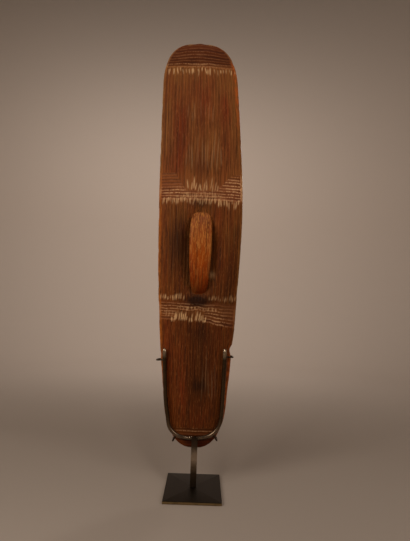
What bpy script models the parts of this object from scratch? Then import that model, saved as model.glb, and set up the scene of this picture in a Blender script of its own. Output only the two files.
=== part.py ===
"""Carved wooden shield, seen from its handle side, held up in a bent-rod stand."""

import math

import bmesh
import bpy
import numpy as np
from mathutils import Vector

# Shield: overall sizes, in metres
SHIELD_LENGTH = 0.8455
SHIELD_WIDTH = 0.1754
SHIELD_TIP_HEIGHT = 0.0735
EDGE_THICKNESS = 0.009
BACK_CROWN = 0.0095
FRONT_CROWN = 0.0085
TIP_ROUNDING = 0.010

# Outline, as shares of the length from the lower tip and of half the width
SIDE_STATIONS = (0.0, 0.15, 0.35, 0.58, 0.80, 0.95)
SIDE_SHARES = (0.611, 0.763, 0.918, 1.0, 0.950, 0.889)
MIDLINE_STATIONS = (0.0, 0.35, 0.58, 0.80, 1.0)
MIDLINE_SHARES = (-0.013, -0.048, -0.047, -0.118, -0.200)
LOWER_END_SHARE = 0.099
LOWER_END_POWER = 2.45
UPPER_END_SHARE = 0.119
UPPER_END_POWER = 2.7
CROWN_AT_ENDS = 0.35

# Chip broken out of the right edge
CHIP_LOW = 0.212
CHIP_DEEPEST = 0.2325
CHIP_HIGH = 0.2495
CHIP_DEPTH = 0.005

# Carved grooves
LONG_GROOVES = 23
LONG_GROOVE_DEPTH = 0.0013
CROSS_GROOVE_PITCH = 0.006
CAP_GROOVE_PITCH = 0.0072
CROSS_GROOVE_DEPTH = 0.0013
GROOVED_SHARE = 0.94
CROSS_COLUMNS = (0.0, 0.3, 0.6, 0.82)
EDGE_COLUMNS = (0.4, 0.8, 1.0)
FRONT_COLUMNS = (-0.93, -0.7, -0.36, 0.0, 0.36, 0.7, 0.93)
TONGUE_MARGIN = 0.05

# Carved zones, as shares of the length
LOWER_CAP_TOP = 0.048
LOWER_BAND_BOTTOM = 0.299
LOWER_TONGUE_TOP = 0.324
LOWER_BAND_TOP = 0.344
UPPER_BAND_BOTTOM = 0.595
UPPER_TONGUE_BOTTOM = 0.616
UPPER_BAND_TOP = 0.661
UPPER_CAP_BOTTOM = 0.934

# Tongues of lengthwise grooves in the two bands: left and right side, at the bottom and at the top
LOWER_TONGUE = ((-0.58, 0.16), (-0.56, 0.22))
UPPER_TONGUE = ((-0.36, 0.36), (-0.62, 0.78))

# Spacing of the rows that carry the surface
PANEL_ROW_STEP = 0.030
HANDLE_ROW_STEP = 0.0155
FIRST_ROW_FROM_TIP = 0.00075
SECOND_ROW_FROM_TIP = 0.003

# Hand hollow and the handle that bridges it
HOLLOW_CENTRE = 0.460
HOLLOW_HALF_LENGTH = 0.104
HOLLOW_HALF_WIDTH = 0.047
HOLLOW_DEPTH = 0.0145
HOLLOW_FLAT_SHARE = 0.35
HANDLE_CENTRE = 0.463
HANDLE_LENGTH = 0.172
HANDLE_WIDTH = 0.046
HANDLE_LOWER_WIDTH = 0.038
HANDLE_THICKNESS = 0.0115
HANDLE_RISE = 0.0155
HANDLE_FOOT_DEPTH = 0.010
HANDLE_OUTER_SINK = 0.003
HANDLE_SIDE_SHIFT = 0.002
HANDLE_OUTER_ARCH_POWER = 5
HANDLE_INNER_ARCH_POWER = 4
HANDLE_END_NARROWING = 0.45
HANDLE_STATIONS = 15
HANDLE_SIDES = 14

# Stand
PLATE_WIDTH = 0.108
PLATE_DEPTH = 0.140
PLATE_THICKNESS = 0.005
PLATE_EDGE_ROUND = 0.0006
POST_WIDTH = 0.012
POST_DEPTH = 0.006
POST_ABOVE_ROD = 0.0065
POST_EDGE_ROUND = 0.0005
ROD_DIAMETER = 0.008
CRADLE_ABOVE_TIP = 0.0215
CRADLE_ARM_LENGTH = 0.176
CRADLE_BEND_HEIGHT = 0.060
CRADLE_BEND_POWER = 2.65
CRADLE_INSET = 0.006
CRADLE_FLARE = 0.04
CRADLE_PINCH_LEFT = 0.0034
CRADLE_PINCH_RIGHT = 0.0010
CRADLE_PINCH_HEIGHT = 0.043
CRADLE_PINCH_REACH = 0.020
CRADLE_SIDE_SHIFT = -0.0024
CRADLE_LEAN = math.radians(1.2)
CRADLE_TIP_TAPER = 0.55
HOOK_DIAMETER = 0.0032
HOOK_RETURN = 0.009
HOOK_BEND_RADIUS = 0.0035

# Clearance between pieces that touch on the real object
TOUCH_GAP = 0.0003

# Each hook: name, side of the cradle, height on its arm or bend, and reach past the shield's edge
HOOKS = (
    ("hook_upper_left", -1, 0.153, 0.0075),
    ("hook_upper_right", 1, 0.160, 0.0028),
    ("hook_lower_left", -1, 0.0065, 0.0042),
    ("hook_lower_right", 1, 0.0085, 0.0042),
)

HALF_WIDTH = SHIELD_WIDTH / 2
ROD_RADIUS = ROD_DIAMETER / 2
HOOK_RADIUS = HOOK_DIAMETER / 2
ROD_Y = POST_DEPTH / 2 + TOUCH_GAP + ROD_RADIUS
CRADLE_BOTTOM = SHIELD_TIP_HEIGHT + CRADLE_ABOVE_TIP


def clear_scene():
    """Remove every object of the open scene."""
    for item in list(bpy.data.objects):
        bpy.data.objects.remove(item, do_unlink=True)


def smooth_curve(stations, values, at):
    """Cubic Hermite curve through the stations, with averaged slopes."""
    stations = np.asarray(stations, float)
    values = np.asarray(values, float)
    slopes = np.gradient(values, stations)
    at = min(max(at, stations[0]), stations[-1])
    k = min(int(np.searchsorted(stations, at, side="right")) - 1, len(stations) - 2)
    span = stations[k + 1] - stations[k]
    q = (at - stations[k]) / span
    start = (2 * q**3 - 3 * q**2 + 1) * values[k] + (q**3 - 2 * q**2 + q) * span * slopes[k]
    end = (3 * q**2 - 2 * q**3) * values[k + 1] + (q**3 - q**2) * span * slopes[k + 1]
    return float(start + end)


def smooth_step(low, high, value):
    """0 below low, 1 above high, and an S curve between."""
    q = min(max((value - low) / (high - low), 0.0), 1.0)
    return q * q * (3 - 2 * q)


def height_of(share):
    """Height of a share of the shield's length."""
    return SHIELD_TIP_HEIGHT + share * SHIELD_LENGTH


def midline(share):
    """Sideways place of the shield's middle, which drifts towards the upper end."""
    return HALF_WIDTH * smooth_curve(MIDLINE_STATIONS, MIDLINE_SHARES, share)


def end_round(share, end_share, power):
    """Width factor of one rounded end: 0 at the tip, 1 where the side begins."""
    q = min(max(1 - share / end_share, 0.0), 1.0)
    return (1 - q**power) ** (1 / power)


def half_width(share):
    """Half the shield's width, with both ends rounded off."""
    side = HALF_WIDTH * smooth_curve(SIDE_STATIONS, SIDE_SHARES, share)
    lower = end_round(share, LOWER_END_SHARE, LOWER_END_POWER)
    upper = end_round(1 - share, UPPER_END_SHARE, UPPER_END_POWER)
    return side * lower * upper


def chip(share):
    """Depth of the chip in the right edge: a sharp notch with a ragged lower side."""
    rising = smooth_step(CHIP_LOW, CHIP_DEEPEST, share)
    falling = 1 - smooth_step(CHIP_DEEPEST, CHIP_HIGH, share)
    return CHIP_DEPTH * rising * falling


def shield_x(share, across):
    """Sideways place of a point, across running from -1 at the left edge to 1."""
    x = midline(share) + across * half_width(share)
    if across > 0:
        x -= chip(share) * across**8
    return x


def face_offset(share, across, crown):
    """How far a face stands off the plane of the edge, before it is carved."""
    tip = TIP_ROUNDING / SHIELD_LENGTH
    near = min(max(min(share, 1 - share) / tip, 0.0), 1.0)
    nose = math.sqrt(1 - (1 - near) ** 2)
    bulge = CROWN_AT_ENDS + (1 - CROWN_AT_ENDS) * (1 - (2 * share - 1) ** 2)
    rounded = EDGE_THICKNESS / 2 * math.sqrt(max(1 - abs(across) ** 12, 0.0))
    return nose * (rounded + crown * bulge * (1 - across**2))


def hollow(share, across):
    """Depth of the oval hand hollow under the handle."""
    along = (share - HOLLOW_CENTRE) * SHIELD_LENGTH / HOLLOW_HALF_LENGTH
    sideways = across * half_width(share) / HOLLOW_HALF_WIDTH
    reach = math.hypot(along, sideways)
    return HOLLOW_DEPTH * (1 - smooth_step(HOLLOW_FLAT_SHARE, 1.0, reach))


def share_at(point):
    """Share of the shield's length and place across it of a point (x, z)."""
    share = (point[1] - SHIELD_TIP_HEIGHT) / SHIELD_LENGTH
    if not 0.001 < share < 0.999:
        return share, 2.0
    return share, (point[0] - midline(share)) / half_width(share)


def cradle_point(side, height):
    """Point (x, z) of the U-shaped rod's centre line: a bend, then arms a little pinched in above it."""
    arm_share = (CRADLE_ABOVE_TIP + CRADLE_BEND_HEIGHT) / SHIELD_LENGTH
    reach = half_width(arm_share) - CRADLE_INSET
    if height < CRADLE_BEND_HEIGHT:
        q = 1 - height / CRADLE_BEND_HEIGHT
        x = side * reach * (1 - q**CRADLE_BEND_POWER) ** (1 / CRADLE_BEND_POWER)
    else:
        x = side * (reach + CRADLE_FLARE * (height - CRADLE_BEND_HEIGHT))
    pinch = CRADLE_PINCH_LEFT if side < 0 else CRADLE_PINCH_RIGHT
    x -= side * pinch * math.exp(-(((height - CRADLE_PINCH_HEIGHT) / CRADLE_PINCH_REACH) ** 2))
    turned_x = x * math.cos(CRADLE_LEAN) - height * math.sin(CRADLE_LEAN)
    turned_z = x * math.sin(CRADLE_LEAN) + height * math.cos(CRADLE_LEAN)
    return CRADLE_SIDE_SHIFT + turned_x, CRADLE_BOTTOM + turned_z


def cradle_heights():
    """Heights along one arm: bunched at the bottom of the bend, then even."""
    bend = [CRADLE_BEND_HEIGHT * (1 - math.cos(a * math.pi / 20)) for a in range(0, 10)]
    arm = np.linspace(CRADLE_BEND_HEIGHT, CRADLE_ARM_LENGTH, 7)
    return bend + [float(h) for h in arm]


def cradle_line():
    """Centre line of the whole rod, from the left tip round to the right tip."""
    heights = cradle_heights()
    left = [cradle_point(-1, h) for h in reversed(heights)]
    right = [cradle_point(1, h) for h in heights[1:]]
    return left + right


def shield_plane():
    """Depth of the shield's edge plane: its back face rests on the rod."""
    reach = 0.0
    for x, z in cradle_line():
        for step in (-ROD_RADIUS, 0.0, ROD_RADIUS):
            share, across = share_at((x + step, z + step))
            if abs(across) < 1:
                reach = max(reach, face_offset(share, across, BACK_CROWN))
    return ROD_Y + ROD_RADIUS + TOUCH_GAP + reach


SHIELD_Y = shield_plane()


def edge_columns():
    """Places across from the last groove to the right edge."""
    return [GROOVED_SHARE + (1 - GROOVED_SHARE) * q for q in EDGE_COLUMNS]


def long_columns():
    """Places across for lengthwise grooves: ridge, valley, ridge and so on."""
    ridges = np.linspace(-GROOVED_SHARE, GROOVED_SHARE, 2 * LONG_GROOVES + 1)
    edge = edge_columns()
    plain = [0.0] * len(edge)
    across = [-e for e in reversed(edge)] + [float(r) for r in ridges] + edge
    valley = plain + [float(k % 2) for k in range(2 * LONG_GROOVES + 1)] + plain
    return across, valley


def cross_columns():
    """Places across where only crosswise grooves are cut."""
    half = list(CROSS_COLUMNS) + [GROOVED_SHARE] + edge_columns()
    across = [-q for q in reversed(half[1:])] + half
    return across, [0.0] * len(across)


def tongue_columns(tongue, height):
    """Crosswise columns beside a tongue of lengthwise grooves, at a height from 0 to 1 in its band."""
    left = tongue[0][0] + (tongue[1][0] - tongue[0][0]) * height
    right = tongue[0][1] + (tongue[1][1] - tongue[0][1]) * height
    across, valley = long_columns()
    outer = (left - TONGUE_MARGIN, right + TONGUE_MARGIN)
    sides = [a for a in cross_columns()[0] if not outer[0] < a < outer[1]]
    inside = [(a, v) for a, v in zip(across, valley) if left < a < right]
    pairs = [(a, 0.0) for a in sides] + inside
    pairs.sort()
    return [p[0] for p in pairs], [p[1] for p in pairs]


def spaced(low, high, step):
    """Even shares from low up to but not including high, about one step apart."""
    count = max(1, round((high - low) * SHIELD_LENGTH / step))
    return [low + (high - low) * k / count for k in range(count)]


def panel_shares(low, high, step):
    """Shares of a lengthwise panel, closed by a row just short of its upper end."""
    last = high - CROSS_GROOVE_PITCH / 2 / SHIELD_LENGTH
    return spaced(low, last, step) + [last]


def shield_rows():
    """Rows along the shield: (share, columns, valleys, cross-groove depth, long-groove depth)."""
    rows = []

    def add(shares, columns, crossed, grooved):
        for k, share in enumerate(shares):
            across, valley = columns(k / len(shares)) if callable(columns) else columns
            cut = CROSS_GROOVE_DEPTH * (k % 2) if crossed else 0.0
            rows.append((share, across, valley, cut, LONG_GROOVE_DEPTH if grooved else 0.0))

    cross = cross_columns()
    full = long_columns()
    first = FIRST_ROW_FROM_TIP / SHIELD_LENGTH
    second = SECOND_ROW_FROM_TIP / SHIELD_LENGTH
    lower_cap = spaced(second, LOWER_CAP_TOP, CAP_GROOVE_PITCH / 2)
    add([first] + lower_cap, cross, True, False)
    chip_shares = [CHIP_LOW, (CHIP_LOW + CHIP_DEEPEST) / 2, CHIP_DEEPEST,
                   (CHIP_DEEPEST + CHIP_HIGH) / 2]
    panel = spaced(LOWER_CAP_TOP, CHIP_LOW, PANEL_ROW_STEP) + chip_shares
    panel += panel_shares(CHIP_HIGH, LOWER_BAND_BOTTOM, PANEL_ROW_STEP)
    add(panel, full, False, True)
    half_pitch = CROSS_GROOVE_PITCH / 2
    add(spaced(LOWER_BAND_BOTTOM, LOWER_TONGUE_TOP, half_pitch),
        lambda height: tongue_columns(LOWER_TONGUE, height), True, True)
    add(spaced(LOWER_TONGUE_TOP, LOWER_BAND_TOP, half_pitch), cross, True, False)
    add(panel_shares(LOWER_BAND_TOP, UPPER_BAND_BOTTOM, HANDLE_ROW_STEP), full, False, True)
    add(spaced(UPPER_BAND_BOTTOM, UPPER_TONGUE_BOTTOM, half_pitch), cross, True, False)
    add(spaced(UPPER_TONGUE_BOTTOM, UPPER_BAND_TOP, half_pitch),
        lambda height: tongue_columns(UPPER_TONGUE, height), True, True)
    add(panel_shares(UPPER_BAND_TOP, UPPER_CAP_BOTTOM, PANEL_ROW_STEP), full, False, True)
    upper_cap = spaced(UPPER_CAP_BOTTOM, 1 - second, CAP_GROOVE_PITCH / 2)
    add(upper_cap + [1 - second, 1 - first], cross, True, False)
    return rows


def back_point(row, index):
    """Point on the carved back face."""
    share, columns, valleys, cross_cut, long_cut = row
    across = columns[index]
    offset = face_offset(share, across, BACK_CROWN)
    inside_groove = long_cut * valleys[index]
    crossed = cross_cut if abs(across) < GROOVED_SHARE + 0.001 else 0.0
    if valleys[index] or (long_cut and cross_cut and is_between(columns, valleys, index)):
        crossed = 0.0
    y = SHIELD_Y - offset + max(inside_groove, crossed) + hollow(share, across)
    return shield_x(share, across), y, height_of(share)


def is_between(columns, valleys, index):
    """Whether a ridge column has a groove's valley beside it."""
    before = valleys[index - 1] if index else 0.0
    after = valleys[index + 1] if index + 1 < len(columns) else 0.0
    return bool(before or after)


def stitch(faces, lower, lower_at, upper, upper_at, flip):
    """Join two rows of unlike counts with triangles, nearest places first."""
    i = 0
    j = 0
    while i < len(lower) - 1 or j < len(upper) - 1:
        step_lower = j == len(upper) - 1
        if i < len(lower) - 1 and j < len(upper) - 1:
            step_lower = lower_at[i + 1] + lower_at[i] <= upper_at[j + 1] + upper_at[j]
        if step_lower:
            face = (lower[i], lower[i + 1], upper[j])
            i += 1
        else:
            face = (lower[i], upper[j + 1], upper[j])
            j += 1
        faces.append(face[::-1] if flip else face)


def shield_body_mesh():
    """Closed shell of the shield: carved back, plain convex front, shared edge."""
    rows = shield_rows()
    points = []
    faces = []

    def add_point(point):
        points.append(point)
        return len(points) - 1

    lower_tip = add_point((midline(0.0), SHIELD_Y, height_of(0.0)))
    upper_tip = add_point((midline(1.0), SHIELD_Y, height_of(1.0)))
    rings = []
    for row in rows:
        back = [add_point(back_point(row, k)) for k in range(len(row[1]))]
        front = [back[0]]
        for across in FRONT_COLUMNS:
            y = SHIELD_Y + face_offset(row[0], across, FRONT_CROWN)
            front.append(add_point((shield_x(row[0], across), y, height_of(row[0]))))
        front.append(back[-1])
        rings.append((back, row[1], front, [-1.0, *FRONT_COLUMNS, 1.0]))
    for below, above in zip(rings, rings[1:]):
        stitch(faces, below[0], below[1], above[0], above[1], False)
        stitch(faces, below[2], below[3], above[2], above[3], True)
    first, last = rings[0], rings[-1]
    stitch(faces, [lower_tip], [0.0], first[0], first[1], False)
    stitch(faces, [lower_tip], [0.0], first[2], first[3], True)
    stitch(faces, last[0], last[1], [upper_tip], [0.0], False)
    stitch(faces, last[2], last[3], [upper_tip], [0.0], True)
    mesh = bpy.data.meshes.new("shield")
    mesh.from_pydata(points, [], faces)
    mesh.validate()
    return mesh


def handle_mesh():
    """Arched bar with rounded sections, its feet sunk into the wood."""
    top_of_arch = SHIELD_Y - face_offset(HANDLE_CENTRE, 0.0, BACK_CROWN) - HANDLE_RISE
    underside = top_of_arch + HANDLE_THICKNESS
    half_length = HANDLE_LENGTH / 2
    sections = []
    for k in range(HANDLE_STATIONS):
        q = -math.cos(math.pi * k / (HANDLE_STATIONS - 1))
        share = HANDLE_CENTRE + q * half_length / SHIELD_LENGTH
        face = SHIELD_Y - face_offset(share, 0.0, BACK_CROWN) + hollow(share, 0.0)
        sunk = face + HANDLE_OUTER_SINK
        outer = top_of_arch + (sunk - top_of_arch) * abs(q) ** HANDLE_OUTER_ARCH_POWER
        foot = face + HANDLE_FOOT_DEPTH
        inner = underside + (foot - underside) * abs(q) ** HANDLE_INNER_ARCH_POWER
        lower_share = smooth_step(-0.2, 0.9, -q)
        width = HANDLE_WIDTH + (HANDLE_LOWER_WIDTH - HANDLE_WIDTH) * lower_share
        width *= 1 - HANDLE_END_NARROWING * abs(q) ** 7
        ring = []
        for n in range(HANDLE_SIDES):
            angle = 2 * math.pi * (n + 0.5) / HANDLE_SIDES
            cos = math.copysign(abs(math.cos(angle)) ** 0.55, math.cos(angle))
            sin = math.copysign(abs(math.sin(angle)) ** 0.7, math.sin(angle))
            x = midline(HANDLE_CENTRE) + HANDLE_SIDE_SHIFT + cos * width / 2
            y = (outer + inner) / 2 + sin * (inner - outer) / 2
            ring.append((x, y, height_of(share)))
        sections.append(ring)
    mesh = bmesh.new()
    rings = [[mesh.verts.new(point) for point in ring] for ring in sections]
    for below, above in zip(rings, rings[1:]):
        for n in range(HANDLE_SIDES):
            m = (n + 1) % HANDLE_SIDES
            mesh.faces.new((below[n], below[m], above[m], above[n]))
    mesh.faces.new(list(reversed(rings[0])))
    mesh.faces.new(rings[-1])
    bmesh.ops.recalc_face_normals(mesh, faces=mesh.faces)
    data = bpy.data.meshes.new("handle_bar")
    mesh.to_mesh(data)
    mesh.free()
    return data


def make_material(name, color, roughness, metallic):
    """Principled material of one colour."""
    material = bpy.data.materials.new(name)
    material.use_nodes = True
    shader = material.node_tree.nodes["Principled BSDF"]
    shader.inputs["Base Color"].default_value = (*color, 1.0)
    shader.inputs["Roughness"].default_value = roughness
    shader.inputs["Metallic"].default_value = metallic
    material.diffuse_color = (*color, 1.0)
    return material


def add_object(name, data, collection, material, location=(0, 0, 0)):
    """Link one named object with its material."""
    item = bpy.data.objects.new(name, data)
    item.location = location
    if material is not None:
        data.materials.append(material)
    collection.objects.link(item)
    return item


def make_shield(collection, guides, material):
    """Carved body with the handle joined on by a union."""
    shield = add_object("shield", shield_body_mesh(), collection, material)
    bar = add_object("handle_bar", handle_mesh(), guides, None)
    bar.hide_render = True
    bar.display_type = "WIRE"
    union = shield.modifiers.new("handle", "BOOLEAN")
    union.operation = "UNION"
    union.object = bar
    union.solver = "EXACT"


def make_base_plate(collection, material):
    """Flat plate with slightly broken edges, standing on its underside."""
    mesh = bmesh.new()
    bmesh.ops.create_cube(mesh, size=1.0)
    bmesh.ops.scale(mesh, vec=(PLATE_WIDTH, PLATE_DEPTH, PLATE_THICKNESS), verts=mesh.verts)
    data = bpy.data.meshes.new("base_plate")
    mesh.to_mesh(data)
    mesh.free()
    plate = add_object("base_plate", data, collection, material, (0, 0, PLATE_THICKNESS / 2))
    bevel = plate.modifiers.new("edges", "BEVEL")
    bevel.width = PLATE_EDGE_ROUND
    bevel.segments = 2


def make_post(collection, material):
    """Flat bar with a round top end, standing on the plate in front of the rod."""
    bottom = PLATE_THICKNESS + TOUCH_GAP
    radius = POST_WIDTH / 2
    top = CRADLE_BOTTOM + POST_ABOVE_ROD
    outline = [(-radius, bottom), (radius, bottom)]
    outline += [(radius * math.cos(math.pi * k / 8), top - radius + radius * math.sin(math.pi * k / 8))
                for k in range(9)]
    curve = bpy.data.curves.new("post", "CURVE")
    curve.dimensions = "2D"
    curve.fill_mode = "BOTH"
    curve.extrude = POST_DEPTH / 2
    spline = curve.splines.new("POLY")
    spline.points.add(len(outline) - 1)
    for point, (x, z) in zip(spline.points, outline):
        point.co = (x, z, 0.0, 1.0)
    spline.use_cyclic_u = True
    post = add_object("post", curve, collection, material)
    post.rotation_euler = (math.pi / 2, 0, 0)
    weld = post.modifiers.new("weld", "WELD")
    weld.merge_threshold = 0.0001
    bevel = post.modifiers.new("edges", "BEVEL")
    bevel.width = POST_EDGE_ROUND
    bevel.segments = 1
    bevel.limit_method = "ANGLE"
    bevel.angle_limit = math.radians(60)


def add_rod(name, points, diameter, tapers, collection, material):
    """Round rod along a polyline, each point with its own share of the diameter."""
    curve = bpy.data.curves.new(name, "CURVE")
    curve.dimensions = "3D"
    curve.bevel_depth = diameter / 2
    curve.bevel_resolution = 2
    curve.use_fill_caps = True
    spline = curve.splines.new("POLY")
    spline.points.add(len(points) - 1)
    for point, place, taper in zip(spline.points, points, tapers):
        point.co = (*place, 1.0)
        point.radius = taper
    return add_object(name, curve, collection, material)


def make_cradle(collection, material):
    """U-shaped rod with tapered tips."""
    line = [(x, ROD_Y, z) for x, z in cradle_line()]
    tapers = [1.0] * len(line)
    tapers[0] = tapers[-1] = CRADLE_TIP_TAPER
    for end, inward in ((0, 1), (-1, -2)):
        along = Vector(line[end]) - Vector(line[inward])
        shoulder = Vector(line[end]) - along.normalized() * ROD_RADIUS
        where = 1 if end == 0 else len(line) - 1
        line.insert(where, tuple(shoulder))
        tapers.insert(where, 1.0)
    add_rod("cradle", line, ROD_DIAMETER, tapers, collection, material)


def rounded_path(corners, radius, steps=3):
    """Polyline through the corners, each inner corner turned by an arc."""
    path = [corners[0]]
    for before, corner, after in zip(corners, corners[1:], corners[2:]):
        back = (before - corner).normalized()
        ahead = (after - corner).normalized()
        reach = min(radius, (before - corner).length * 0.45, (after - corner).length * 0.45)
        for k in range(steps + 1):
            q = k / steps
            start = corner + back * reach * (1 - q) ** 2
            path.append(start + ahead * reach * q**2)
    return path + [corners[-1]]


def edge_distance(start, direction):
    """Distance from a point inside the outline, along a direction, to the outline."""
    near = 0.0
    far = SHIELD_WIDTH
    for _ in range(40):
        middle = (near + far) / 2
        point = (start[0] + direction[0] * middle, start[1] + direction[1] * middle)
        inside = abs(share_at(point)[1]) < 1
        near, far = (middle, far) if inside else (near, middle)
    return far


def make_hook(name, side, height, standoff, collection, material):
    """Thin rod from the cradle out past the shield's edge and back over its front."""
    step = 0.001
    start = cradle_point(side, height)
    ahead = cradle_point(side, height + step)
    along = Vector((ahead[0] - start[0], ahead[1] - start[1])).normalized()
    outward = Vector((along.y, -along.x)) * side
    edge = edge_distance(start, outward)
    leg = edge + standoff
    front = 0.0
    for k in range(6):
        reach = leg - HOOK_RETURN * k / 5
        share, across = share_at((start[0] + outward.x * reach, start[1] + outward.y * reach))
        if abs(across) < 1:
            front = max(front, face_offset(share, across, FRONT_CROWN))
    far_y = SHIELD_Y + front + TOUCH_GAP + HOOK_RADIUS

    def place(reach, y):
        return Vector((start[0] + outward.x * reach, y, start[1] + outward.y * reach))

    corners = [place(ROD_RADIUS + TOUCH_GAP, ROD_Y), place(leg, ROD_Y), place(leg, far_y),
               place(leg - HOOK_RETURN, far_y)]
    path = rounded_path(corners, HOOK_BEND_RADIUS)
    add_rod(name, [tuple(p) for p in path], HOOK_DIAMETER, [1.0] * len(path), collection, material)


def main():
    """Build every piece of the shield and its stand."""
    clear_scene()
    collection = bpy.data.collections.new("carved_shield_on_stand")
    guides = bpy.data.collections.new("guides")
    bpy.context.scene.collection.children.link(collection)
    bpy.context.scene.collection.children.link(guides)
    wood = make_material("ochred_wood", (0.105, 0.034, 0.014), 0.55, 0.0)
    plate_steel = make_material("blackened_plate", (0.017, 0.013, 0.009), 0.45, 0.8)
    post_steel = make_material("blackened_bar", (0.030, 0.020, 0.013), 0.35, 0.9)
    rod_steel = make_material("blackened_rod", (0.022, 0.015, 0.010), 0.35, 0.9)
    make_shield(collection, guides, wood)
    make_base_plate(collection, plate_steel)
    make_post(collection, post_steel)
    make_cradle(collection, rod_steel)
    for name, side, height, standoff in HOOKS:
        hook_steel = make_material(name + "_steel", (0.022, 0.015, 0.010), 0.4, 0.9)
        make_hook(name, side, height, standoff, collection, hook_steel)


main()
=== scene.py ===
# %% [markdown]
# A carved wooden shield, standing in a bent steel rod. One piece of wood, somewhat longer than an
# arm, was shaped to a slim lens and then covered with gouge cuts: long ones down the panels, short
# crosswise ones in bands. The handle was never added, it was left standing while the wood under it
# was scooped out. This lesson builds it as one surface worked out with numpy, so that each cut is a
# few lines of arithmetic instead of an hour of sculpting.
#
# First the fixed frame is loaded. It gives the measured solids, and everything below is fitted to
# them.

# %% Load the frame
import math

import bpy
import numpy as np
from mathutils import Matrix, Vector


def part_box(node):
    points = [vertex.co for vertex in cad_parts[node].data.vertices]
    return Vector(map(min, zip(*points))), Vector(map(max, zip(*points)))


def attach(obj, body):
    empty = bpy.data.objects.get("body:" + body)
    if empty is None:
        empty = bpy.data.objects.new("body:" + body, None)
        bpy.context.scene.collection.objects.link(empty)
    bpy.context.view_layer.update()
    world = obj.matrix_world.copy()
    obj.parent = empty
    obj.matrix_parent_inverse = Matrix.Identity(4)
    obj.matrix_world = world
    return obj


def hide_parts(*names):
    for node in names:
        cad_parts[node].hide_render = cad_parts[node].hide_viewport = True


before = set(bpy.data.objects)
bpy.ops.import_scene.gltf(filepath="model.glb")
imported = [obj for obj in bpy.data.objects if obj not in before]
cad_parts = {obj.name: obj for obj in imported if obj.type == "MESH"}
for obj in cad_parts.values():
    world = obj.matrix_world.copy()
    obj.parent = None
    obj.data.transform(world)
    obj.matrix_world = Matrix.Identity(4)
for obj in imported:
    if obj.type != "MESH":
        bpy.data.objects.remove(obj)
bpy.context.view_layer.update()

MM = 0.001
shield_low, shield_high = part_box("shield")
LENGTH = shield_high.z - shield_low.z
TIP_HEIGHT = shield_low.z
WIDTH = 0.1754
HALF_WIDTH = WIDTH / 2

# The topmost point of the solid lies in the plane where both faces meet
solid_points = np.array([v.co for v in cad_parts["shield"].data.vertices])
EDGE_PLANE = float(solid_points[solid_points[:, 2].argmax(), 1])
print("shield length", round(LENGTH, 4), "m, edge plane at y =", round(EDGE_PLANE, 4))

# %% [markdown]
# The camera comes before the shapes, so that every later step can be looked at from the right
# place. It stands about 0.9 m in front of the shield, a little above a third of its height, looks
# slightly upwards and is turned by two degrees, as a camera held in the hands is.

# %% Camera
CAMERA_PLACE = (0.0092, -0.9076, 0.3541)
CAMERA_TILT = math.radians(4.67)
CAMERA_ROLL = math.radians(1.95)
CAMERA_LENS = 29.94
CAMERA_FILM = 36.0


def add_object(name, data):
    """New object at the origin, linked to the scene."""
    piece = bpy.data.objects.new(name, data)
    bpy.context.scene.collection.objects.link(piece)
    return piece


def make_camera():
    """Camera that looks along +Y, raised by the tilt, with its right side turned up by the roll."""
    ahead = Vector((0, math.cos(CAMERA_TILT), math.sin(CAMERA_TILT)))
    side = Vector((1, 0, 0))
    above = side.cross(ahead)
    right = math.cos(CAMERA_ROLL) * side + math.sin(CAMERA_ROLL) * above
    up = math.cos(CAMERA_ROLL) * above - math.sin(CAMERA_ROLL) * side
    data = bpy.data.cameras.new("camera")
    data.sensor_fit = "VERTICAL"
    data.sensor_height = CAMERA_FILM
    data.lens = CAMERA_LENS
    camera = add_object("camera", data)
    turn = Matrix((right, up, -ahead)).transposed().to_4x4()
    camera.matrix_world = Matrix.Translation(CAMERA_PLACE) @ turn
    return camera


bpy.context.scene.camera = make_camera()
print("camera at", CAMERA_PLACE, "lens", CAMERA_LENS, "mm")

# %% [markdown]
# A hand-made thing is never quite regular. Two tools give that irregularity in a way that is the
# same each run: a smooth curve through a few stations, and value noise, which is a lattice of fixed
# pseudo-random heights with soft steps between them. A bell curve serves for every soft spot.

# %% Curves, steps and noise
def smooth_curve(stations, values, at):
    """Cubic Hermite curve through the stations: each slope is the average of its neighbours'."""
    stations = np.asarray(stations, float)
    values = np.asarray(values, float)
    slopes = np.gradient(values, stations)
    at = np.clip(at, stations[0], stations[-1])
    k = np.clip(np.searchsorted(stations, at, side="right") - 1, 0, len(stations) - 2)
    span = stations[k + 1] - stations[k]
    q = (at - stations[k]) / span
    start = (2 * q**3 - 3 * q**2 + 1) * values[k] + (q**3 - 2 * q**2 + q) * span * slopes[k]
    end = (3 * q**2 - 2 * q**3) * values[k + 1] + (q**3 - q**2) * span * slopes[k + 1]
    return start + end


def uneven(share, wobble):
    """Factor 1 - s + s * w: from 1 - 2s to 1, as the noise w goes from -1 to 1."""
    return 1 - share + share * wobble


def smooth_step(low, high, value):
    """0 below low, 1 above high, and 3q^2 - 2q^3 between."""
    q = np.clip((value - low) / (high - low), 0.0, 1.0)
    return q * q * (3 - 2 * q)


def bell(value, centre, reach):
    """Bell curve exp(-((value - centre) / reach)^2): 1 at the centre, about a third at the reach."""
    return np.exp(-(((value - centre) / reach) ** 2))


def lattice(i, j, seed):
    """Fixed pseudo-random number from 0 to 1 for each whole-number lattice place."""
    mixed = np.sin(i * 127.1 + j * 311.7 + seed * 74.7) * 43758.5453
    return mixed - np.floor(mixed)


def noise(u, v, seed):
    """Value noise from -1 to 1: lattice heights, mixed with smooth steps in u and v."""
    i, j = np.floor(u), np.floor(v)
    a, b = smooth_step(0, 1, u - i), smooth_step(0, 1, v - j)
    low = lattice(i, j, seed) * (1 - a) + lattice(i + 1, j, seed) * a
    high = lattice(i, j + 1, seed) * (1 - a) + lattice(i + 1, j + 1, seed) * a
    return 2 * (low * (1 - b) + high * b) - 1


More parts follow.
